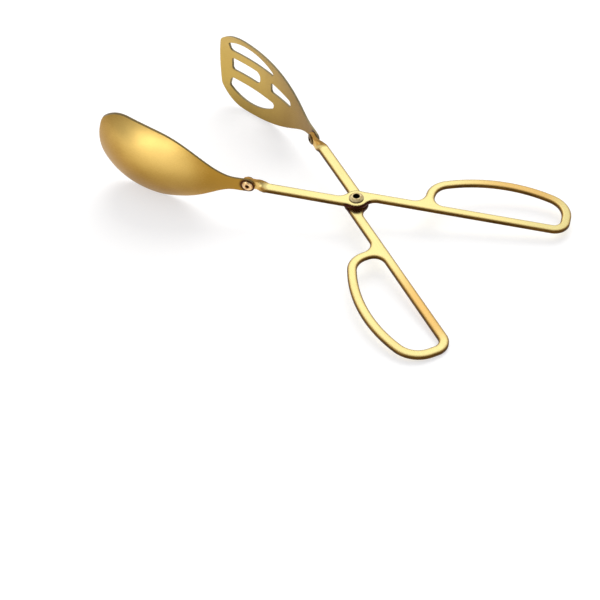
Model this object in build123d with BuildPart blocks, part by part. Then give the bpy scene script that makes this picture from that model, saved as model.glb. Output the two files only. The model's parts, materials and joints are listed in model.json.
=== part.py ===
from build123d import *
from math import asin, atan2, cos, degrees, pi, radians, sin, sqrt
import os

# Scissor serving tongs: a spoon and a slotted blade on two crossed arms.
#
# Each side is drawn in its arm's own frame: the pivot axis is Z through the origin, Z = 0 is
# the middle of the strip, +X runs along the handle and +Y is the side that the finger loop
# bulges to. On the head side of the pivot, +Y therefore points at the other head. The two
# arms are the same stamping; the slotted side is turned over before it is riveted on.

# ---------------------------------------------------------------- driving dimensions, mm
# Arm strip
arm_thickness = 2.5
edge_break = 0.6             # edges of the strip, broken by tumbling
boss_radius = 6.5            # round eye at the pivot
handle_bar_width = 5.4
handle_bar_inset = 0.2       # eye's rim to the handle bar's outer edge
head_bar_width = 6.0
head_bar_inset = 0.7         # eye's rim to the head bar's outer edge
eye_fillet = 6.0             # inside corners where the bars leave the eye

# Finger loop
loop_start = 34.4            # pivot to the loop's near side
loop_length = 75.2
loop_width = 31.2            # straight side to the crown of the curved side
loop_crown = 40.3            # near side to the crown
loop_near_height = 20.1      # straight side to where the long curve meets each end
loop_far_height = 22.2
loop_band = 4.8              # width of the strip around the hole
loop_heel_radius = 13.0      # outer corners of the loop, near side first
loop_end_radius = 16.0
loop_toe_radius = 8.5
loop_throat_radius = 6.0     # inside corner where the bar runs into the loop
loop_nook_radius = 6.0       # hole's corner beside the bar

# Upright tab that carries the head
rivet_reach = 58.6           # pivot axis to head rivet axis
twist_length = 7.5
tab_shift = 1.5              # head bar's centre line to the tab's, towards the other head
tab_reach = 4.1              # head rivet axis to the end of the twist
tab_radius = 3.7
tab_fillet = 2.5             # inside corners between the strip and the round end

# Pressed heads
sheet = 1.1
head_trim = 4.0              # sheet outside the outline, trimmed away
neck_width = 7.8
neck_length = 7.0            # head rivet axis to where the sides flare
neck_flat = 4.6              # head rivet axis to where the flat pad starts to curve
neck_blend = 8.0             # from the flat pad to the full curve of the section
head_length = 86.0           # flare to the middle of the tip
head_width = 47.9
head_shoulder = 23.3         # widest station to the middle of the tip
flare_pull = 14.5            # how far the neck's line carries into the flare
side_pull = 37.2             # how far the widest station's line carries back
tip_width = 31.0             # corner to corner
tip_crown = 3.3              # bow of the tip edge
tip_corner_radius = 7.0
spoon_section_radius = 35.0  # curve across the spoon, on its convex face
spoon_bend_radius = 59.6     # curve along the spoon towards its tip
spoon_bend_start = 48.8      # head rivet axis to where that curve starts
spoon_droop = 2.6            # degrees that the spoon hangs down on its rivet
blade_section_radius = 60.0
blade_bend_radius = 150.0
blade_bend_start = 17.5
blade_lean = 2.0             # degrees that the blade's upper edge leans outwards from its neck

# Drain slots of the blade
slot_tip_margin = 8.2        # tip edge to the slots
slot_web = 5.4               # bars between the slots
slot_corner = 1.9
middle_slot_width = 8.2
middle_slot_length = 22.0
middle_slot_round = 3.4      # its neck-side end
cross_web = 9.6              # between the middle slot and the neck slot
neck_slot_length = 20.5
neck_slot_wide_end = 6.8
neck_slot_narrow_end = 4.4
side_slot_length = 39.0
side_slot_crown = 19.2       # centre line to the outermost point of a side slot
side_slot_crown_place = 16.0 # tip-side end of a side slot to its outermost point
side_slot_end = 5.2          # height of a side slot's blunt end

# Pivot rivet, its washer, and the head rivets
pivot_bore_radius = 1.6
pivot_tube_radius = 2.9
pivot_flange_radius = 3.9
pivot_crown_radius = 2.5     # edge of the flat top around the bore
pivot_crown_height = 1.4     # above the face that the flange sits on
pivot_rim_height = 0.4
pivot_clearance = 0.05       # tube to the turning arm's hole, on the radius
pivot_end_play = 0.05        # free gap on each face of the turning arm
washer_radius = 5.6
washer_thickness = 0.4
head_rivet_bore_radius = 0.9
head_rivet_tube_radius = 1.8
head_rivet_flange_radius = 3.1
head_rivet_crown_radius = 1.9
head_rivet_crown_height = 0.9
head_rivet_rim_height = 0.3
rivet_mouth_break = 0.3      # broken edge at each end of a rivet's bore

# Open angle
half_opening = 25.1          # degrees from the line of symmetry to each arm
settling_rounds = 8          # times the lie on the table is worked out

# ---------------------------------------------------------------- worked out from those
handle_outer = boss_radius - handle_bar_inset
handle_inner = handle_outer - handle_bar_width
head_bar_outer = head_bar_inset - boss_radius
head_bar_inner = head_bar_outer + head_bar_width
bar_y = (head_bar_outer + head_bar_inner) / 2
tab_y = bar_y + tab_shift
loop_end = loop_start + loop_length
crown_x = loop_start + loop_crown
crown_y = handle_inner + loop_width

tab_start = tab_reach - rivet_reach
twist_start = tab_start + twist_length
pad_y = tab_y - arm_thickness / 2 - sheet / 2

flare_x = -rivet_reach - neck_length
tip_x = flare_x - head_length
widest_x = tip_x + head_shoulder
tip_corner_x = tip_x + tip_crown
half_head = head_width / 2
half_neck = neck_width / 2
half_tip = tip_width / 2


# ---------------------------------------------------------------- arms
def arm_plan():
    """Flat outline of one arm, from the finger loop to the start of the twist."""
    with BuildSketch() as loop:
        with BuildLine():
            near_side = Line(
                (loop_start, handle_inner), (loop_start, handle_inner + loop_near_height)
            )
            back = ThreePointArc(
                near_side @ 1, (crown_x, crown_y), (loop_end, handle_inner + loop_far_height)
            )
            Polyline(back @ 1, (loop_end, handle_inner), near_side @ 0)
        make_face()
        fillet(loop.vertices().group_by(Axis.X)[0].sort_by(Axis.Y)[-1], loop_heel_radius)
        fillet(loop.vertices().group_by(Axis.X)[-1].sort_by(Axis.Y)[-1], loop_end_radius)
        fillet(loop.vertices().group_by(Axis.X)[-1].sort_by(Axis.Y)[0], loop_toe_radius)

    with BuildSketch() as loop_hole:
        offset(loop.face(), -loop_band)
        nook = (loop_start + loop_band, handle_inner + loop_band)
        fillet(loop_hole.vertices().sort_by_distance(nook)[0], loop_nook_radius)

    with BuildSketch() as plan:
        add(loop.sketch)
        Circle(boss_radius)
        with Locations((0, handle_inner)):
            Rectangle(loop_start, handle_bar_width, align=(Align.MIN, Align.MIN))
        with Locations((0, head_bar_outer)):
            Rectangle(-twist_start, head_bar_width, align=(Align.MAX, Align.MIN))
        for side, edges in (
            (1, (handle_inner, handle_outer)),
            (-1, (head_bar_inner, head_bar_outer)),
        ):
            for edge_y in edges:
                leaves_eye = (side * sqrt(boss_radius**2 - edge_y**2), edge_y)
                fillet(plan.vertices().sort_by_distance(leaves_eye)[0], eye_fillet)
        fillet(plan.vertices().sort_by_distance((loop_start, handle_outer))[0], loop_throat_radius)
        add(loop_hole.sketch, mode=Mode.SUBTRACT)
    return plan.sketch


def turned_section(share):
    """Plane of the strip's cross-section, a share of the way along its quarter twist."""
    eased = share * share * (3 - 2 * share)
    angle = eased * pi / 2
    place = (twist_start - share * twist_length, bar_y + eased * tab_shift, 0)
    return Plane(origin=place, x_dir=(0, cos(angle), sin(angle)), z_dir=(-1, 0, 0))


def make_tab():
    """Upright round-ended tab at the end of the twist, its flat faces across Y."""
    inner_face = (-rivet_reach, tab_y + arm_thickness / 2, 0)
    with BuildPart() as tab:
        with BuildSketch(Plane(origin=inner_face, x_dir=(1, 0, 0), z_dir=(0, -1, 0))) as outline:
            Circle(tab_radius)
            Rectangle(tab_reach, head_bar_width, align=(Align.MIN, Align.CENTER))
            shoulder_x = sqrt(tab_radius**2 - head_bar_width**2 / 4)
            for edge_y in (head_bar_width / 2, -head_bar_width / 2):
                fillet(outline.vertices().sort_by_distance((shoulder_x, edge_y))[0], tab_fillet)
        extrude(amount=arm_thickness)
        rim = tab.edges().filter_by(Plane.XZ)
        chamfer(rim.filter_by(lambda e: e.center().X < tab_start - edge_break), edge_break)
    return tab.part


def make_arm(pivot_hole_radius):
    """One arm: flat loop, bars and eye, a quarter twist, and an upright tab."""
    with BuildPart() as arm:
        with BuildSketch(Plane.XY.offset(-arm_thickness / 2)):
            add(arm_plan())
        extrude(amount=arm_thickness)
        rim = arm.edges().filter_by(Plane.XY)
        chamfer(rim.filter_by(lambda e: e.center().X > twist_start + edge_break), edge_break)

        for share in (0, 0.25, 0.5, 0.75, 1):
            with BuildSketch(turned_section(share)) as section:
                Rectangle(head_bar_width, arm_thickness)
                chamfer(section.vertices(), edge_break)
        loft()
        add(make_tab())

        Cylinder(pivot_hole_radius, 2 * arm_thickness, mode=Mode.SUBTRACT)
        with BuildSketch(Plane(origin=(-rivet_reach, tab_y, 0), x_dir=(1, 0, 0), z_dir=(0, -1, 0))):
            Circle(head_rivet_tube_radius)
        extrude(amount=arm_thickness, both=True, mode=Mode.SUBTRACT)
    return arm


spoon_arm = make_arm(pivot_tube_radius)
slotted_arm = make_arm(pivot_tube_radius + pivot_clearance)


# ---------------------------------------------------------------- heads
def head_outline():
    """Outline of a head seen from its side: round neck end, flared sides and a blunt tip."""
    with BuildSketch() as outline:
        with BuildLine():
            neck_end = ThreePointArc(
                (-rivet_reach + half_neck, 0),
                (-rivet_reach + half_neck * cos(pi / 4), half_neck * sin(pi / 4)),
                (-rivet_reach, half_neck),
            )
            neck = Line(neck_end @ 1, (flare_x, half_neck))
            side = Bezier(
                neck @ 1,
                (flare_x - flare_pull, half_neck),
                (widest_x + side_pull, half_head),
                (widest_x, half_head),
            )
            shoulder = TangentArc(side @ 1, (tip_corner_x, half_tip), tangent=(-1, 0))
            TangentArc((tip_x, 0), shoulder @ 1, tangent=(0, 1))
            mirror(about=Plane.XZ)
        make_face()
        corners = [
            outline.vertices().sort_by_distance((tip_corner_x, side * half_tip))[0] for side in (1, -1)
        ]
        fillet(corners, tip_corner_radius)
    return outline.sketch


def arc_band(half_height, section_radius):
    """Cross-section of the curved sheet: its hollow side faces the sketch's +X."""
    rise = asin(half_height / section_radius)
    convex, hollow = (
        [(section_radius - r * cos(rise), side * r * sin(rise)) for side in (-1, 1)]
        for r in (section_radius + sheet / 2, section_radius - sheet / 2)
    )
    with BuildSketch() as band:
        with BuildLine():
            ThreePointArc(convex[0], (-sheet / 2, 0), convex[1])
            Line(convex[1], hollow[1])
            ThreePointArc(hollow[1], (sheet / 2, 0), hollow[0])
            Line(hollow[0], convex[0])
        make_face()
    return band.sketch


def drain_slots():
    """The blade's four slots seen from its side: one each side, two on the centre line."""
    end_x = tip_x + slot_tip_margin
    middle_end_x = end_x + middle_slot_length
    neck_slot_x = middle_end_x + cross_web
    web_edge = middle_slot_width / 2 + slot_web
    with BuildSketch() as slots:
        with Locations((end_x, 0)):
            Rectangle(middle_slot_length, middle_slot_width, align=(Align.MIN, Align.CENTER))
        fillet(slots.vertices().group_by(Axis.X)[0], slot_corner)
        fillet(slots.vertices().group_by(Axis.X)[-1], middle_slot_round)

    with BuildSketch() as neck_slot:
        Polygon(
            (neck_slot_x, -neck_slot_wide_end / 2),
            (neck_slot_x + neck_slot_length, -neck_slot_narrow_end / 2),
            (neck_slot_x + neck_slot_length, neck_slot_narrow_end / 2),
            (neck_slot_x, neck_slot_wide_end / 2),
            align=None,
        )
        fillet(neck_slot.vertices(), slot_corner)

    with BuildSketch() as side_slot:
        with BuildLine():
            blunt_end = Line((end_x, web_edge), (end_x, web_edge + side_slot_end))
            inner_edge = Line((end_x, web_edge), (end_x + side_slot_length, web_edge))
            crown = (end_x + side_slot_crown_place, side_slot_crown)
            ThreePointArc(blunt_end @ 1, crown, inner_edge @ 1)
        make_face()
        fillet(side_slot.vertices(), slot_corner)

    with BuildSketch() as pattern:
        add(slots.sketch)
        add(neck_slot.sketch)
        add(side_slot.sketch)
        add(mirror(side_slot.sketch, about=Plane.XZ, mode=Mode.PRIVATE))
    return pattern.sketch


def make_head(section_radius, bend_radius, bend_start, lean=0, slots=None):
    """One pressed head: a flat neck pad that blends into a sheet curved across and along."""
    pad_end = -rivet_reach - neck_flat
    curve_start = pad_end - neck_blend
    bend_x = -rivet_reach - bend_start
    half_stock = half_head + head_trim
    neck_stock = half_neck + head_trim
    leaning = (0, cos(radians(lean)), -sin(radians(lean)))
    pad_plane, curve_plane, bend_plane = (
        Plane(origin=(x, pad_y, 0), x_dir=hollow_side, z_dir=(-1, 0, 0))
        for x, hollow_side in ((pad_end, (0, 1, 0)), (curve_start, leaning), (bend_x, leaning))
    )
    bend_centre = bend_plane.from_local_coords((bend_radius, 0))
    with BuildPart() as head:
        with BuildSketch(pad_plane):
            Rectangle(sheet, 2 * neck_stock)
        extrude(amount=-2 * half_neck - neck_flat)

        with BuildSketch(pad_plane):
            Rectangle(sheet, 2 * neck_stock)
        with BuildSketch(curve_plane):
            add(arc_band(neck_stock, section_radius))
        loft()

        with BuildSketch(curve_plane):
            add(arc_band(half_stock, section_radius))
        extrude(amount=curve_start - bend_x)

        with BuildSketch(bend_plane):
            add(arc_band(half_stock, section_radius))
        revolve(axis=Axis(bend_centre, bend_plane.y_dir), revolution_arc=90)

        with BuildSketch(Plane.XZ):
            add(head_outline())
        extrude(amount=2 * bend_radius, both=True, mode=Mode.INTERSECT)

        if slots:
            with BuildSketch(Plane.XZ):
                add(slots)
            extrude(amount=2 * bend_radius, both=True, mode=Mode.SUBTRACT)

        with BuildSketch(Plane(origin=(-rivet_reach, pad_y, 0), x_dir=(1, 0, 0), z_dir=(0, -1, 0))):
            Circle(head_rivet_tube_radius)
        extrude(amount=sheet, both=True, mode=Mode.SUBTRACT)
    return head


spoon_head = make_head(spoon_section_radius, spoon_bend_radius, spoon_bend_start)
slotted_head = make_head(
    blade_section_radius, blade_bend_radius, blade_bend_start, blade_lean, drain_slots()
)


# ---------------------------------------------------------------- rivets and washer
def make_rivet(
    plane, grip, bore_radius, tube_radius, flange_radius, crown_radius, crown_height, rim_height
):
    """Tubular rivet rolled to a low crown at both ends, about the plane's Y."""
    seat = grip / 2
    crown = seat + crown_height
    with BuildPart() as rivet:
        with BuildSketch(plane):
            with BuildLine():
                Polyline(
                    (bore_radius, 0),
                    (bore_radius, crown - rivet_mouth_break),
                    (bore_radius + rivet_mouth_break, crown),
                    (crown_radius, crown),
                    (flange_radius, seat + rim_height),
                    (flange_radius, seat),
                    (tube_radius, seat),
                    (tube_radius, 0),
                )
                mirror(about=Plane.XZ)
            make_face()
        revolve(axis=Axis(plane.origin, plane.y_dir))
    return rivet


pivot_rivet = make_rivet(
    Plane(origin=(0, 0, -pivot_end_play), x_dir=(1, 0, 0), z_dir=(0, -1, 0)),
    washer_thickness + 2 * arm_thickness + 2 * pivot_end_play,
    pivot_bore_radius,
    pivot_tube_radius,
    pivot_flange_radius,
    pivot_crown_radius,
    pivot_crown_height,
    pivot_rim_height,
)
spoon_rivet, slotted_rivet = (
    make_rivet(
        Plane(origin=(-rivet_reach, tab_y - sheet / 2, 0), x_dir=(1, 0, 0), z_dir=(0, 0, -1)),
        arm_thickness + sheet,
        head_rivet_bore_radius,
        head_rivet_tube_radius,
        head_rivet_flange_radius,
        head_rivet_crown_radius,
        head_rivet_crown_height,
        head_rivet_rim_height,
    )
    for _ in range(2)
)

with BuildPart() as pivot_washer:
    Cylinder(washer_radius, washer_thickness)
    Cylinder(pivot_tube_radius, washer_thickness, mode=Mode.SUBTRACT)


# ---------------------------------------------------------------- assembly
spoon_level = (washer_thickness + arm_thickness) / 2
slotted_level = -spoon_level - pivot_end_play
spoon_hang = Pos(-rivet_reach, 0, 0) * Rot(0, -spoon_droop, 0) * Pos(rivet_reach, 0, 0)
spoon_swing = Pos(0, 0, spoon_level) * Rot(0, 0, half_opening)
slotted_swing = Pos(0, 0, slotted_level) * Rot(0, 0, -half_opening) * Rot(180, 0, 0)
spoon_head.part.move(spoon_hang)
for piece in (spoon_arm, spoon_head, spoon_rivet):
    piece.part.move(spoon_swing)
for piece in (slotted_arm, slotted_head, slotted_rivet):
    piece.part.move(slotted_swing)

# The tongs lie on a table on both heads and on the lower loop: the arms tip down towards the
# handles, and roll a little because one arm lies on top of the other.
head_spread = -2 * widest_x * sin(radians(half_opening))
foot_spread = (loop_end - widest_x) * cos(radians(half_opening))
tip_down = roll = 0
for _ in range(settling_rounds):
    lying = Rot(roll, tip_down, 0)
    spoon_low, slotted_low, loop_low = (
        (lying * piece.part).bounding_box().min.Z for piece in (spoon_head, slotted_head, slotted_arm)
    )
    roll += degrees(atan2(spoon_low - slotted_low, head_spread))
    tip_down += degrees(atan2(loop_low - slotted_low, foot_spread))

pieces = {
    "spoon_arm": spoon_arm,
    "slotted_arm": slotted_arm,
    "spoon_head": spoon_head,
    "slotted_head": slotted_head,
    "spoon_rivet": spoon_rivet,
    "slotted_rivet": slotted_rivet,
    "pivot_rivet": pivot_rivet,
    "pivot_washer": pivot_washer,
}
whole = Compound([lying * piece.part for piece in pieces.values()]).bounding_box()
on_table = Pos(-whole.center().X, -whole.center().Y, -whole.min.Z) * lying

os.makedirs("parts", exist_ok=True)
for name, piece in pieces.items():
    piece.part.move(on_table)
    piece.part.label = name
    export_step(piece.part, f"parts/{name}.step")
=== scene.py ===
import json
from math import cos, pi, radians, sin

import bmesh
import bpy
from mathutils import Matrix, Vector


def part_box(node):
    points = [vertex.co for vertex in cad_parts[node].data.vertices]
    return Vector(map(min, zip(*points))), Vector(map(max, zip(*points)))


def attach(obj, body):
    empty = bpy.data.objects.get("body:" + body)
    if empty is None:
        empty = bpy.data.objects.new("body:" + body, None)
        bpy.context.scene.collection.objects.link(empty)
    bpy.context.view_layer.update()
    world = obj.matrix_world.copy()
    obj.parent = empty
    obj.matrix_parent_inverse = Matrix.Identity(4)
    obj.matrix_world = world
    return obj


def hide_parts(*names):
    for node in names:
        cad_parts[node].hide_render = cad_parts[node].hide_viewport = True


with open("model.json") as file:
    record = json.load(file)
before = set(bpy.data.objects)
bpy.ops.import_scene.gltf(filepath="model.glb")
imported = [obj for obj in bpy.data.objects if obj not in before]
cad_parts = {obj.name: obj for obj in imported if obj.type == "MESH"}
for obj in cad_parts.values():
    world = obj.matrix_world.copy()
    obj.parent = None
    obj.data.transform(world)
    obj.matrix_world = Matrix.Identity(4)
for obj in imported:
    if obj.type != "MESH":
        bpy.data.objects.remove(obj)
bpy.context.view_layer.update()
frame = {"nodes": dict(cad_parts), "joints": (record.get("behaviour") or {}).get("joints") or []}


# ---------------------------------------------------------------------------- floor
# The table that the tongs lie on: a plain pale sheet, wide enough to run out of sight.
# It is matt and unmarked, and it keeps the soft shadows under the heads and the loops.
class Wire:
    """A socket of a node tree, or the bare tree. Arithmetic on a socket adds Math nodes."""

    def __init__(self, tree, socket=None):
        self.tree, self.socket = tree, socket

    def add(self, kind, settings=(), inputs=(), out=0):
        """Adds a node of that kind: its settings first, then its sockets' values or links."""
        node = self.tree.nodes.new(kind)
        for name, setting in dict(settings).items():
            setattr(node, name, setting)
        for key, given in dict(inputs).items():
            if isinstance(given, Wire):
                self.tree.links.new(given.socket, node.inputs[key])
            else:
                node.inputs[key].default_value = given
        return Wire(self.tree, node.outputs[out]) if len(node.outputs) else None

    def math(self, operation, *terms):
        return self.add("ShaderNodeMath", {"operation": operation}, dict(enumerate(terms)))

    def __add__(self, other):
        return self.math("ADD", self, other)

    def __sub__(self, other):
        return self.math("SUBTRACT", self, other)

    def __rsub__(self, other):
        return self.math("SUBTRACT", other, self)

    def __mul__(self, other):
        return self.math("MULTIPLY", self, other)

    def __truediv__(self, other):
        return self.math("DIVIDE", self, other)

    def __rtruediv__(self, other):
        return self.math("DIVIDE", other, self)

    def __pow__(self, other):
        return self.math("POWER", self, other)

    def __rpow__(self, other):
        return self.math("POWER", other, self)

    __radd__, __rmul__ = __add__, __mul__

    def size(self):
        return self.math("ABSOLUTE", self)

    def rise(self, low, high):
        """0 at low and 1 at high, held beyond them, with a smooth step between them."""
        return self.add(
            "ShaderNodeMapRange",
            {"interpolation_type": "SMOOTHSTEP"},
            {"Value": self, "From Min": low, "From Max": high},
        )

    def vector_math(self, operation, *terms, out="Vector"):
        return self.add(
            "ShaderNodeVectorMath", {"operation": operation}, dict(enumerate(terms)), out
        )

    def minus(self, point):
        """This place seen from a point."""
        return self.vector_math("SUBTRACT", self, point)

    def length(self):
        return self.vector_math("LENGTH", self, out="Value")

    def along(self, direction):
        """How far this vector reaches in a direction."""
        return self.vector_math("DOT_PRODUCT", self, direction, out="Value")

    def blend(self, first, second):
        """A colour between two, by this factor."""
        return self.add(
            "ShaderNodeMix",
            {"data_type": "RGBA", "clamp_factor": True},
            {0: self, 6: first, 7: second},
            2,
        )


def new_material(name):
    """An empty material, with a wire to start its tree from."""
    material = bpy.data.materials.new(name)
    material.use_nodes = True
    material.node_tree.nodes.clear()
    return material, Wire(material.node_tree)


floor_reach = 30.0
cast_white = (0.8, 0.8, 0.8, 1)          # what the floor throws up at the tongs
seen_white = (0.52, 0.51, 0.49, 1)       # what takes the shadows
seen_glow = (0.56, 0.565, 0.585, 1)      # lifts the rest to a clean white

floor_mesh = bpy.data.meshes.new("floor")
floor_mesh.from_pydata(
    [(x * floor_reach, y * floor_reach, 0) for x, y in ((-1, -1), (1, -1), (1, 1), (-1, 1))],
    [],
    [(0, 1, 2, 3)],
)
floor = bpy.data.objects.new("floor", floor_mesh)
bpy.context.scene.collection.objects.link(floor)

floor_matt, start = new_material("floor_matt")
light_path = start.add("ShaderNodeLightPath")
is_camera, is_glossy, is_transmission = (
    Wire(start.tree, light_path.socket.node.outputs[name])
    for name in ("Is Camera Ray", "Is Glossy Ray", "Is Transmission Ray")
)
looked_at = is_camera + is_glossy + is_transmission
plain = start.add("ShaderNodeBsdfDiffuse", inputs={"Color": cast_white})
shaded = start.add("ShaderNodeBsdfDiffuse", inputs={"Color": seen_white})
glow = start.add("ShaderNodeEmission", inputs={"Color": seen_glow, "Strength": 1.0})
pale = start.add("ShaderNodeAddShader", inputs={0: shaded, 1: glow})
surface = start.add("ShaderNodeMixShader", inputs={0: looked_at, 1: plain, 2: pale})
start.add("ShaderNodeOutputMaterial", inputs={"Surface": surface})
floor.data.materials.append(floor_matt)


# ---------------------------------------------------------------------------- camera
# A camera above the handles' right-hand side, looking down and across the tongs, with the
# two heads away to the left. It is held turned a little, and its lens is a short telephoto.
azimuth, elevation, turn = radians(47.25), radians(42.63), radians(-8.424)
aim = Vector((0.05551, -0.07866, 0.020))
distance = 0.58102
back = Vector((sin(azimuth) * cos(elevation), -cos(azimuth) * cos(elevation), sin(elevation)))
level = Vector((cos(azimuth), sin(azimuth), 0))
upright = back.cross(level)
across = cos(turn) * level + sin(turn) * upright
upward = -sin(turn) * level + cos(turn) * upright
lens = bpy.data.cameras.new("camera")
lens.sensor_width = 36
lens.lens = 73.634
lens.clip_start = 0.02
camera = bpy.data.objects.new("camera", lens)
camera.matrix_world = Matrix.Translation(aim + distance * back) @ (
    Matrix((across, upward, back)).transposed().to_4x4()
)
bpy.context.scene.collection.objects.link(camera)
bpy.context.scene.camera = camera
bpy.context.scene.view_settings.view_transform = "Standard"


# ---------------------------------------------------------------------------- light
# Soft studio light: a pale room, bright overhead and beyond the tongs and dim on the near
# side, a broad box high beyond them, and one in front that lights the spoon's rounded back.
def soft_box(name, place, target, width, height, power):
    """A white rectangular light that faces its target."""
    box = bpy.data.lights.new(name, "AREA")
    box.shape = "RECTANGLE"
    box.size, box.size_y, box.energy = width, height, power
    lamp = bpy.data.objects.new(name, box)
    facing = (Vector(place) - Vector(target)).to_track_quat("Z", "Y")
    lamp.matrix_world = Matrix.Translation(place) @ facing.to_matrix().to_4x4()
    bpy.context.scene.collection.objects.link(lamp)


soft_box(
    "overhead_box",
    place=(-0.42, 0.62, 0.95), target=(0.02, 0.0, 0.01), width=0.55, height=0.45, power=0.35,
)
soft_box(
    "low_front_box",
    place=(-0.17, -1.0, 0.30), target=(-0.08, -0.05, 0.035), width=0.50, height=0.40, power=1.7,
)

# The shadows come from one wide lamp beyond the tongs, kept out of the metal's reflections.
toward_lamp = Vector((-0.34, 0.72, 0.62))
sun = bpy.data.lights.new("shadow_lamp", "SUN")
sun.energy, sun.angle = 2.0, radians(48)
shadow_lamp = bpy.data.objects.new("shadow_lamp", sun)
shadow_lamp.matrix_world = toward_lamp.to_track_quat("Z", "Y").to_matrix().to_4x4()
shadow_lamp.visible_glossy = False
bpy.context.scene.collection.objects.link(shadow_lamp)

bright_way = (-0.50, 0.46, 0.73)
dim_wall, bright_wall = (0.28, 0.28, 0.29, 1), (0.84, 0.84, 0.84, 1)
room = bpy.data.worlds.new("room")
room.use_nodes = True
room.node_tree.nodes.clear()
bpy.context.scene.world = room
start = Wire(room.node_tree)
direction = start.add("ShaderNodeTexCoord", out="Generated")
wall = direction.along(bright_way).rise(-0.20, 0.95).blend(dim_wall, bright_wall)
backdrop = start.add("ShaderNodeBackground", inputs={"Color": wall, "Strength": 1.0})
start.add("ShaderNodeOutputWorld", inputs={"Surface": backdrop})


# ---------------------------------------------------------------------------- arms
# Two equal stampings of 2.5 mm stainless strip, plated gold: an eye at the pivot, a closed
# finger loop behind it, and a twisted tab in front. The flat faces are polished, and the
# sheared edges carry painted shade, a dark reflection painted into their colour.
hinge = frame["joints"][0]
pivot_at = Vector(hinge["pos_m"])
arms_up = Vector(hinge["axis"]).normalized()
half_opening = radians(25.1)
twist_from, twist_to = 0.0470, 0.0545        # in front of the pivot
tab_full = 0.0560                            # in front of it, where the tab's own gold is full
shade_from, shade_full = 0.040, 0.078      # behind it, where painted shade turns the loops' gold deeper
shade_fade, shade_end = 0.094, 0.108
stack_from, stack_to = 0.0072, 0.0090        # around the pivot
edge_rounding = 0.0018
line_grain = (60, 2600, 2600)                # polishing lines to the metre, along and across

# Pale gold with a painted highlight in it, and the orange gold of the painted shade on the
# loops.
lit_pale_gold, shaded_orange_gold = (0.955, 0.83, 0.365, 1), (0.86, 0.52, 0.16, 1)
line_gold = (0.72, 0.45, 0.16, 1)            # polishing lines
rounding_shade_gold = (0.62, 0.35, 0.09, 1)          # painted shade where the faces round off
# Painted shade on the sheared edges, mottled by the finger marks.
edge_shade_dark, edge_shade_light = (0.060, 0.027, 0.003, 1), (0.135, 0.062, 0.008, 1)
# Painted shade on the eye's rim, where the arms and the washer are stacked.
stack_shade_maroon = (0.045, 0.010, 0.004, 1)
tab_gold = (0.78, 0.46, 0.12, 1)


def arm_ways(turn):
    """Along an arm's handle and across it, with the arm swung from the tongs' middle line."""
    handle_way = Matrix.Rotation(turn, 3, arms_up) @ Vector((0, 1, 0)).cross(arms_up)
    return handle_way, arms_up.cross(handle_way)


def mottle(place, scale, detail):
    """Soft noise between 0 and 1, with about as many patches to the metre as its scale."""
    inputs = {"Vector": place, "Scale": scale, "Detail": detail}
    return place.add("ShaderNodeTexNoise", inputs=inputs)


def bump(height, strength, distance, **normal):
    """Relief too fine to model, over a normal where one is given."""
    inputs = {"Height": height, "Strength": strength, "Distance": distance, **normal}
    return height.add("ShaderNodeBump", inputs=inputs)


def metal(start, colour, rough, relief):
    """Ends a material's tree in metal of this colour, roughness and relief."""
    surface = start.add(
        "ShaderNodeBsdfPrincipled",
        inputs={"Base Color": colour, "Metallic": 1.0, "Roughness": rough, "Normal": relief},
    )
    start.add("ShaderNodeOutputMaterial", inputs={"Surface": surface})


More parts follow.
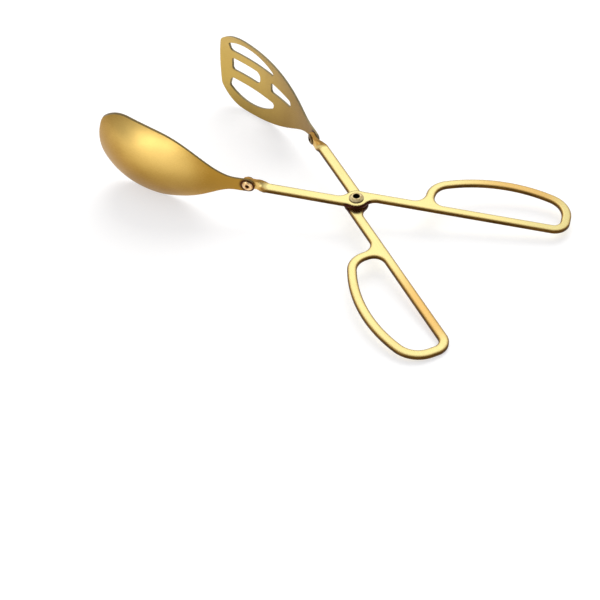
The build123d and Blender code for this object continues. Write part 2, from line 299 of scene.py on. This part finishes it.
def arm_plating(name, turn, bulge_side, shade_between):
    """Gold plating on one arm, with painted shade over one part of its finger loop's width."""
    handle_way, bulge_way = arm_ways(turn)
    material, start = new_material(name)
    place = start.add("ShaderNodeTexCoord", out="Object")
    from_pivot = place.minus(pivot_at)
    behind = from_pivot.along(handle_way)
    beside = from_pivot.along(bulge_way)
    height = from_pivot.along(arms_up)
    arm_place = start.add("ShaderNodeCombineXYZ", inputs={0: behind, 1: beside, 2: height})

    # The tumbled edges are rounder than a plain chamfer: their normals, and the flat faces
    # told from the sheared ones by them, followed through the quarter twist in front.
    rounded = start.add("ShaderNodeBevel", {"samples": 8}, {"Radius": edge_rounding})
    facing = start.add(
        "ShaderNodeVectorTransform",
        {"vector_type": "NORMAL", "convert_from": "WORLD", "convert_to": "OBJECT"},
        {0: rounded},
    )
    twisted = (behind * -1 - twist_from) / (twist_to - twist_from)
    angle = twisted.rise(0, 1) * (pi / 2)
    flat = (
        angle.math("COSINE", angle) * facing.along(arms_up)
        - angle.math("SINE", angle) * facing.along(bulge_way)
    ).size()
    # Painted shade where the faces round off towards the edges.
    wear_and_shade = 1 - flat.rise(0.88, 0.998)
    sheared = 1 - flat.rise(0.52, 0.96)

    # Polishing lines along the strip, finger marks, the plating's slow change of tone, and
    # painted shade over part of the loops.
    stretched = start.add("ShaderNodeMapping", inputs={"Vector": arm_place, "Scale": line_grain})
    lines = mottle(stretched, 1.0, 3.0)
    marks = mottle(arm_place, 90.0, 4.0)
    drift = mottle(arm_place, 22.0, 1.0)
    # Painted shade over one side of the loops, fading out again at their far ends.
    shaded_side = (beside * bulge_side).rise(*shade_between)
    shade_on_loop = behind.rise(shade_from, shade_full) * (1 - behind.rise(shade_fade, shade_end))
    drift_and_painted_shade = shade_on_loop * shaded_side * 0.8 + (drift - 0.5) * 0.25 + 0.06
    colour = drift_and_painted_shade.blend(lit_pale_gold, shaded_orange_gold)
    colour = (lines.rise(0.35, 0.75) * 0.10).blend(colour, line_gold)
    colour = wear_and_shade.blend(colour, rounding_shade_gold)
    # Painted shade on the sheared sides: a dark reflection painted into their colour.
    edge_shade_tone = marks.rise(0.3, 0.7).blend(edge_shade_dark, edge_shade_light)
    colour = sheared.blend(colour, edge_shade_tone)

    # The eye's rim gets painted shade where the two arms and the washer are stacked, and the
    # twist and the tab are a warmer, duller gold than the flat bars.
    near_stack = 1 - from_pivot.length().rise(stack_from, stack_to)
    stack_rim_shade = near_stack * (1 - flat.rise(0.90, 0.99))
    colour = stack_rim_shade.blend(colour, stack_shade_maroon)
    tab = 1 - behind.rise(-tab_full, -twist_from)
    colour = (tab * 0.80).blend(colour, tab_gold)

    rough = 0.24 + (marks - 0.5) * 0.10 + (lines - 0.5) * 0.08 + sheared * 0.16 + tab * 0.28
    metal(start, colour, rough, bump(lines, 0.12, 0.0002, Normal=rounded))
    return material


arm_materials = {
    "spoon_arm": arm_plating(
        "spoon_arm_plating", half_opening, bulge_side=1, shade_between=(0.006, 0.022)
    ),
    "slotted_arm": arm_plating(
        "slotted_arm_plating", -half_opening, bulge_side=-1, shade_between=(0.034, 0.006)
    ),
}
for node, plating in arm_materials.items():
    for material_slot in frame["nodes"][node].material_slots:
        material_slot.material = plating


# ---------------------------------------------------------------------------- spoon
# The spoon is pressed from 1.1 mm sheet, dished along and across, and plated like the
# arms. Its faces are blasted and brushed to a fine satin; its cut rim stays duller.
ring_shade_maroon = (0.070, 0.018, 0.005, 1)       # painted shade around the rivet
ring_from, ring_to = 0.0040, 0.0056          # from the rivet's middle
rim_rounding = 0.0004


def satin(
    name, bright, shaded_deep, highlight_at, highlight_turn, highlight_reach, rivet_at, grain, roughness
):
    """Satin gold on pressed sheet, with a painted highlight at one place and painted shade away
    from it, and grain along the piece.
    """
    material, start = new_material(name)
    place = start.add("ShaderNodeTexCoord", out="Object")
    stretched = start.add("ShaderNodeMapping", inputs={"Vector": place, "Scale": grain})
    brush = mottle(stretched, 1.0, 4.0)
    blast = mottle(place, 5200.0, 2.0)
    cloud = mottle(place, 42.0, 2.0)
    # A painted highlight at one place, turning to painted shade away from it.
    from_highlight = start.add(
        "ShaderNodeMapping",
        {"vector_type": "TEXTURE"},
        {"Vector": place, "Location": highlight_at, "Rotation": highlight_turn, "Scale": highlight_reach},
    )
    away = from_highlight.length().rise(0.2, 1.3)
    shade_and_mottle = away + (cloud - 0.5) * 0.35 + (brush - 0.5) * 0.25
    colour = shade_and_mottle.blend(bright, shaded_deep)
    # Painted shade in a ring around the rivet.
    shade_around_rivet = 1 - place.minus(rivet_at).length().rise(ring_from, ring_to)
    colour = shade_around_rivet.blend(colour, ring_shade_maroon)
    rough = roughness + (cloud - 0.5) * 0.12 + (brush - 0.5) * 0.10
    rounded = start.add("ShaderNodeBevel", {"samples": 4}, {"Radius": rim_rounding})
    metal(start, colour, rough, bump(brush * 0.7 + blast * 0.5, 0.16, 0.0002, Normal=rounded))
    return material


def cut_edge(name, tone, raw):
    """The sheared edge of the sheet: torn grey-brown, with fine lines across its thickness."""
    material, start = new_material(name)
    place = start.add("ShaderNodeTexCoord", out="Object")
    torn = mottle(place, 2200.0, 3.0)
    colour = torn.rise(0.3, 0.7).blend(tone, raw)
    metal(start, colour, 0.42 + (torn - 0.5) * 0.2, bump(torn, 0.3, 0.0001))
    return material


weld_reach = 1e-6
crease = radians(28)                         # a cut edge turns sharper than any pressed curve


def pressed_piece(node, name, body, faces, edges):
    """The pressed sheet as one welded piece: its two wide faces satin, all cut edges raw."""
    sheet = bmesh.new()
    sheet.from_mesh(frame["nodes"][node].data)
    bmesh.ops.remove_doubles(sheet, verts=sheet.verts, dist=weld_reach)
    sheet.normal_update()
    left, regions = set(sheet.faces), []
    while left:
        region, reached = [], [left.pop()]
        while reached:
            face = reached.pop()
            region.append(face)
            for edge in face.edges:
                if edge.calc_face_angle() < crease:
                    near = left.intersection(edge.link_faces)
                    left -= near
                    reached += near
        regions.append(region)
    regions.sort(key=lambda region: -sum(face.calc_area() for face in region))
    for number, region in enumerate(regions):
        for face in region:
            face.material_index, face.smooth = int(number > 1), True
    for edge in sheet.edges:
        edge.smooth = edge.calc_face_angle() < crease
    mesh = bpy.data.meshes.new(name)
    sheet.to_mesh(mesh)
    sheet.free()
    mesh.materials.append(faces)
    mesh.materials.append(edges)
    piece = bpy.data.objects.new(name, mesh)
    bpy.context.scene.collection.objects.link(piece)
    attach(piece, body)
    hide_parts(node)


spoon_satin = satin(
    "spoon_satin",
    bright=(0.93, 0.64, 0.19, 1),
    shaded_deep=(0.42, 0.228, 0.032, 1),
    highlight_at=(-0.0799, -0.0445, 0.0356),
    highlight_turn=(radians(140.7), radians(-29.0), radians(-163.4)),
    highlight_reach=(0.030, 0.014, 0.100),
    rivet_at=sum(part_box("spoon_rivet"), Vector()) / 2,
    grain=(400, 2400, 2400),
    roughness=0.40,
)
spoon_edge = cut_edge(
    "spoon_cut_edge", tone=(0.15, 0.105, 0.035, 1), raw=(0.27, 0.19, 0.07, 1)
)
pressed_piece("spoon_head", "spoon_bowl", "spoon_side", spoon_satin, spoon_edge)


# ---------------------------------------------------------------------------- slotted blade
# The other head is a flatter pressing of the same sheet with four drain slots punched
# through it. Its satin is coarser and duller than the spoon's.
blade_satin = satin(
    "blade_satin",
    bright=(0.61, 0.42, 0.110, 1),
    shaded_deep=(0.33, 0.195, 0.050, 1),
    highlight_at=(-0.108, 0.049, 0.028),
    highlight_turn=(0.0, 0.0, 0.0),
    highlight_reach=(0.060, 0.080, 0.040),
    rivet_at=sum(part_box("slotted_rivet"), Vector()) / 2,
    grain=(420, 2400, 2400),
    roughness=0.46,
)
blade_edge = cut_edge(
    "blade_cut_edge", tone=(0.22, 0.175, 0.085, 1), raw=(0.40, 0.33, 0.19, 1)
)
pressed_piece(
    "slotted_head", "slotted_blade", "slotted_side", blade_satin, blade_edge
)


# ---------------------------------------------------------------------------- rivets
# Three tubular rivets of plated steel, set in the arms' and heads' holes. Both ends of each
# are rolled over to a low crown around an open bore. One profile is revolved for all three.
rivet_tree = bpy.data.node_groups.new("rolled_rivet", "GeometryNodeTree")
for name, kind in (
    ("Bore", "Float"), ("Tube", "Float"), ("Flange", "Float"), ("Seat", "Float"),
    ("Rim", "Float"), ("Crown Radius", "Float"), ("Crown Height", "Float"), ("Roll", "Float"),
    ("Facets", "Int"), ("Centre", "Vector"), ("Axis", "Vector"), ("Plating", "Material"),
):
    rivet_tree.interface.new_socket(name, in_out="INPUT", socket_type="NodeSocket" + kind)
rivet_tree.interface.new_socket("Rivet", in_out="OUTPUT", socket_type="NodeSocketGeometry")
start = Wire(rivet_tree)
asked = start.add("NodeGroupInput").socket.node
size = {socket.name: Wire(rivet_tree, socket) for socket in asked.outputs}

# Half of the profile, from the bore over the rolled crown and the flange to the tube, then
# its mirror image. Each corner is a radius, a height and the rounding of that corner.
crown_top = size["Seat"] + size["Crown Height"]
mouth_roll, rim_roll, foot_roll = (size["Roll"] * share for share in (0.7, 0.4, 0.12))
upper_half = [
    (size["Bore"], crown_top, mouth_roll),
    (size["Crown Radius"], crown_top, size["Roll"]),
    (size["Flange"], size["Seat"] + size["Rim"], rim_roll),
    (size["Flange"], size["Seat"], foot_roll),
    (size["Tube"], size["Seat"], foot_roll),
]
corners = upper_half + [(out, up * -1, rounding) for out, up, rounding in reversed(upper_half)]
corner_number = start.add("GeometryNodeInputIndex")
roll_steps = 5


def by_corner(kind, values):
    """Each profile corner's own value."""
    picked = start.add("GeometryNodeIndexSwitch", {"data_type": kind}, {"Index": corner_number})
    switch = picked.socket.node
    while len(switch.index_switch_items) < len(values):
        switch.index_switch_items.new()
    for place, value in enumerate(values):
        rivet_tree.links.new(value.socket, switch.inputs[place + 1])
    return picked


spots = [start.add("ShaderNodeCombineXYZ", inputs={0: out, 1: up}) for out, up, _ in corners]
roundings = [rounding for _, _, rounding in corners]
chain = start.add("GeometryNodeMeshLine", inputs={"Count": len(corners)})
outline = start.add("GeometryNodeMeshToCurve", inputs={"Mesh": chain})
outline = start.add(
    "GeometryNodeSetPosition",
    inputs={"Geometry": outline, "Position": by_corner("VECTOR", spots)},
)
outline = start.add("GeometryNodeSetSplineCyclic", inputs={"Geometry": outline, "Cyclic": True})
outline = start.add(
    "GeometryNodeFilletCurve",
    {"mode": "POLY"},
    {"Curve": outline, "Count": roll_steps, "Radius": by_corner("FLOAT", roundings)},
)

# Swept round a ring of next to no width, so the profile's own radii are the rivet's. The
# sweep leaves the faces inwards, so they are turned.
ring_radius = 1e-6
ring = start.add(
    "GeometryNodeCurvePrimitiveCircle",
    inputs={"Resolution": size["Facets"], "Radius": ring_radius},
)
swept = start.add("GeometryNodeCurveToMesh", inputs={"Curve": ring, "Profile Curve": outline})
swept = start.add("GeometryNodeFlipFaces", inputs={"Mesh": swept})
swept = start.add("GeometryNodeSetShadeSmooth", inputs={"Geometry": swept})
lean = start.add("FunctionNodeAlignRotationToVector", {"axis": "Z"}, {"Vector": size["Axis"]})
swept = start.add(
    "GeometryNodeTransform",
    inputs={"Geometry": swept, "Translation": size["Centre"], "Rotation": lean},
)
swept = start.add("GeometryNodeRealizeInstances", inputs={"Geometry": swept})
swept = start.add(
    "GeometryNodeSetMaterial", inputs={"Geometry": swept, "Material": size["Plating"]}
)
start.add("NodeGroupOutput", inputs={"Rivet": swept})

foot_shade_brown = (0.045, 0.018, 0.004, 1)
foot_from, foot_over_rim = 0.0001, 0.0004    # above the seat, and above the flange's rim
mouth_from, mouth_to = 0.0001, 0.0006        # outside the bore's wall
ring_grain, height_grain = 9000, 4000        # turned lines to the metre, outwards and upwards


# The rivets' plating: bright where the closing die burnished the crown, with painted shade
# around its foot and painted shade down the bore.
def rivet_plating(name, centre, axis, sizes, bright, wear_and_shade, bore_shade):
    """Plating that follows one rivet, from its bore over the crown to its foot."""
    material, start = new_material(name)
    place = start.add("ShaderNodeTexCoord", out="Object")
    offset = place.minus(centre)
    whole, along = offset.length(), offset.along(axis)
    above_seat = along.size() - sizes["Seat"]
    from_axis = (whole * whole - along * along) ** 0.5
    grime = mottle(place, 900.0, 3.0)
    turned = start.add(
        "ShaderNodeCombineXYZ", inputs={0: from_axis * ring_grain, 1: above_seat * height_grain}
    )
    rings = mottle(turned, 1.0, 2.0)
    colour = grime.rise(0.35, 0.75).blend(bright, wear_and_shade)
    # Painted shade around the rivet's foot, where it meets the arm.
    foot_shade = 1 - above_seat.rise(foot_from, sizes["Rim"] + foot_over_rim)
    colour = foot_shade.blend(colour, foot_shade_brown)
    # Painted shade down the bore.
    mouth_shade = 1 - from_axis.rise(sizes["Bore"] + mouth_from, sizes["Bore"] + mouth_to)
    colour = mouth_shade.blend(colour, bore_shade)
    rough = 0.27 + (grime - 0.5) * 0.15 + mouth_shade * 0.2
    metal(start, colour, rough, bump(rings, 0.15, 0.0001))
    return material


head_rivet = {
    "Bore": 0.0009, "Tube": 0.0018, "Flange": 0.0031, "Seat": 0.0018,
    "Rim": 0.0003, "Crown Radius": 0.0019, "Crown Height": 0.0009, "Roll": 0.0005,
}
pivot_rivet = {
    "Bore": 0.0016, "Tube": 0.0029, "Flange": 0.0039, "Seat": 0.00275,
    "Rim": 0.0004, "Crown Radius": 0.0025, "Crown Height": 0.0014, "Roll": 0.00045,
}
rivet_facets = 72

# The head rivets lie across their arms, and the pivot rivet stands up through both.
for node, body, axis, sizes, bright, wear_and_shade, bore_shade in (
    (
        "spoon_rivet", "spoon_side", arm_ways(half_opening)[1], head_rivet,
        (0.95, 0.66, 0.34, 1), (0.62, 0.32, 0.12, 1), (0.30, 0.13, 0.045, 1),
    ),
    # The slotted rivet's colours are a darker copy of the spoon rivet's: painted shade.
    (
        "slotted_rivet", "slotted_side", arm_ways(-half_opening)[1], head_rivet,
        (0.22, 0.145, 0.05, 1), (0.10, 0.06, 0.02, 1), (0.06, 0.03, 0.010, 1),
    ),
    (
        "pivot_rivet", "spoon_side", arms_up, pivot_rivet,
        (0.90, 0.74, 0.40, 1), (0.50, 0.33, 0.12, 1), (0.020, 0.005, 0.002, 1),
    ),
):
    low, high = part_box(node)
    centre = (low + high) / 2
    plating = rivet_plating(node + "_plating", centre, axis, sizes, bright, wear_and_shade, bore_shade)
    asked_sizes = {
        **sizes, "Facets": rivet_facets, "Centre": centre, "Axis": axis, "Plating": plating,
    }
    mould = bpy.data.objects.new(node + "_mould", bpy.data.meshes.new(node + "_mould"))
    bpy.context.scene.collection.objects.link(mould)
    maker = mould.modifiers.new("rivet", "NODES")
    maker.node_group = rivet_tree
    for socket in rivet_tree.interface.items_tree:
        if socket.in_out == "INPUT":
            maker[socket.identifier] = asked_sizes[socket.name]
    seen = mould.evaluated_get(bpy.context.evaluated_depsgraph_get())
    mesh = bpy.data.meshes.new_from_object(seen)
    mesh.name = node + "_rolled"
    bpy.data.objects.remove(mould)
    piece = bpy.data.objects.new(node + "_rolled", mesh)
    bpy.context.scene.collection.objects.link(piece)
    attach(piece, body)
    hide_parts(node)


# ---------------------------------------------------------------------------- washer
# A thin flat washer keeps the two arms apart at the pivot. It is punched from brown spring
# strip and never polished, so it shows as a dark line under the eye.
spring_dark, spring_brown = (0.045, 0.014, 0.004, 1), (0.10, 0.035, 0.010, 1)
washer_strip, start = new_material("washer_brown")
place = start.add("ShaderNodeTexCoord", out="Object")
rolled = mottle(place, 1500.0, 3.0)
colour = rolled.rise(0.3, 0.7).blend(spring_dark, spring_brown)
metal(start, colour, 0.4 + (rolled - 0.5) * 0.2, bump(rolled, 0.2, 0.0001))
for material_slot in frame["nodes"]["pivot_washer"].material_slots:
    material_slot.material = washer_strip
